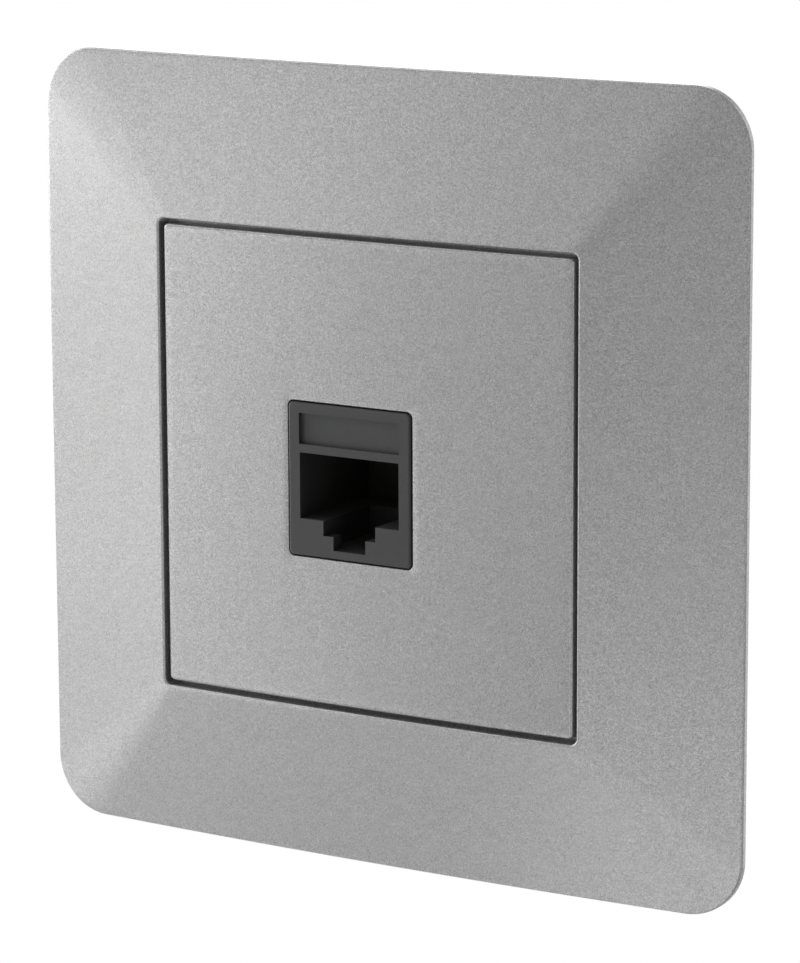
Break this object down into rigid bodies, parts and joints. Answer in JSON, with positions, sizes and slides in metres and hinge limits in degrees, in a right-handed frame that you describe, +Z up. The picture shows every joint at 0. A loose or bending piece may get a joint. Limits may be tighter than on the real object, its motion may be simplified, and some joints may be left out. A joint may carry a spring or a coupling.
{
  "type": "telephone and data wall socket",
  "caption": "Square flush wall outlet with a sloped cover frame, a bowed centre plate and a keystone modular jack on a steel support with spreading claws.",
  "frame": {"origin": "middle of the box screw slots, on the wall plane", "axes": "+X to the right seen from the room, +Y into the wall, +Z up"},
  "size_m": [0.0832, 0.0322, 0.0832],
  "materials": {
    "silver_plastic": "satin metallic paint with fine grain",
    "dark_plastic": "fine moulded texture",
    "black_plastic": "moulded",
    "carrier_plastic": "moulded",
    "cap_plastic": "moulded",
    "board_laminate": "solder mask",
    "zinc_sheet": "zinc plated sheet",
    "zinc_strip": "zinc plated strip",
    "screw_steel": "zinc plated",
    "contact_gold": "gold plated",
    "blade_tin": "tin plated"
  },
  "bodies": {
    "outlet": {"cover_frame": "silver_plastic", "centre_plate": "silver_plastic", "support_frame": "zinc_sheet", "keystone_carrier": "carrier_plastic", "jack_housing": "dark_plastic", "contact_insert": "black_plastic", "jack_circuit_board": "board_laminate", "termination_block": "black_plastic", "wire_cap_left": "cap_plastic", "wire_cap_right": "cap_plastic", "contact_wire_1": "contact_gold", "contact_wire_2": "contact_gold", "contact_wire_3": "contact_gold", "contact_wire_4": "contact_gold", "contact_wire_5": "contact_gold", "contact_wire_6": "contact_gold", "contact_wire_7": "contact_gold", "contact_wire_8": "contact_gold", "idc_contact_1": "blade_tin", "idc_contact_2": "blade_tin", "idc_contact_3": "blade_tin", "idc_contact_4": "blade_tin", "idc_contact_5": "blade_tin", "idc_contact_6": "blade_tin", "idc_contact_7": "blade_tin", "idc_contact_8": "blade_tin"},
    "left_claw": {"claw_left": "zinc_strip"},
    "right_claw": {"claw_right": "zinc_strip"},
    "left_claw_screw": {"claw_screw_left": "screw_steel"},
    "right_claw_screw": {"claw_screw_right": "screw_steel"}
  },
  "joints": [
    {"name": "left_screw_turn", "type": "hinge", "parent": "outlet", "child": "left_claw_screw", "pos_m": [-0.023, 0, 0], "axis": [0, 1, 0], "range_deg": [0, 1340]},
    {"name": "right_screw_turn", "type": "hinge", "parent": "outlet", "child": "right_claw_screw", "pos_m": [0.023, 0, 0], "axis": [0, 1, 0], "range_deg": [0, 1340]},
    {"name": "left_claw_swing", "type": "hinge", "parent": "outlet", "child": "left_claw", "pos_m": [-0.0162, 0.0065, 0], "axis": [0, 0, 1], "range_deg": [0, 15]},
    {"name": "right_claw_swing", "type": "hinge", "parent": "outlet", "child": "right_claw", "pos_m": [0.0162, 0.0065, 0], "axis": [0, 0, -1], "range_deg": [0, 15]}
  ],
  "couplings": [
    {"joint": "left_screw_turn", "follows": "left_claw_swing", "ratio": 87.33},
    {"joint": "right_screw_turn", "follows": "right_claw_swing", "ratio": 87.33}
  ]
}
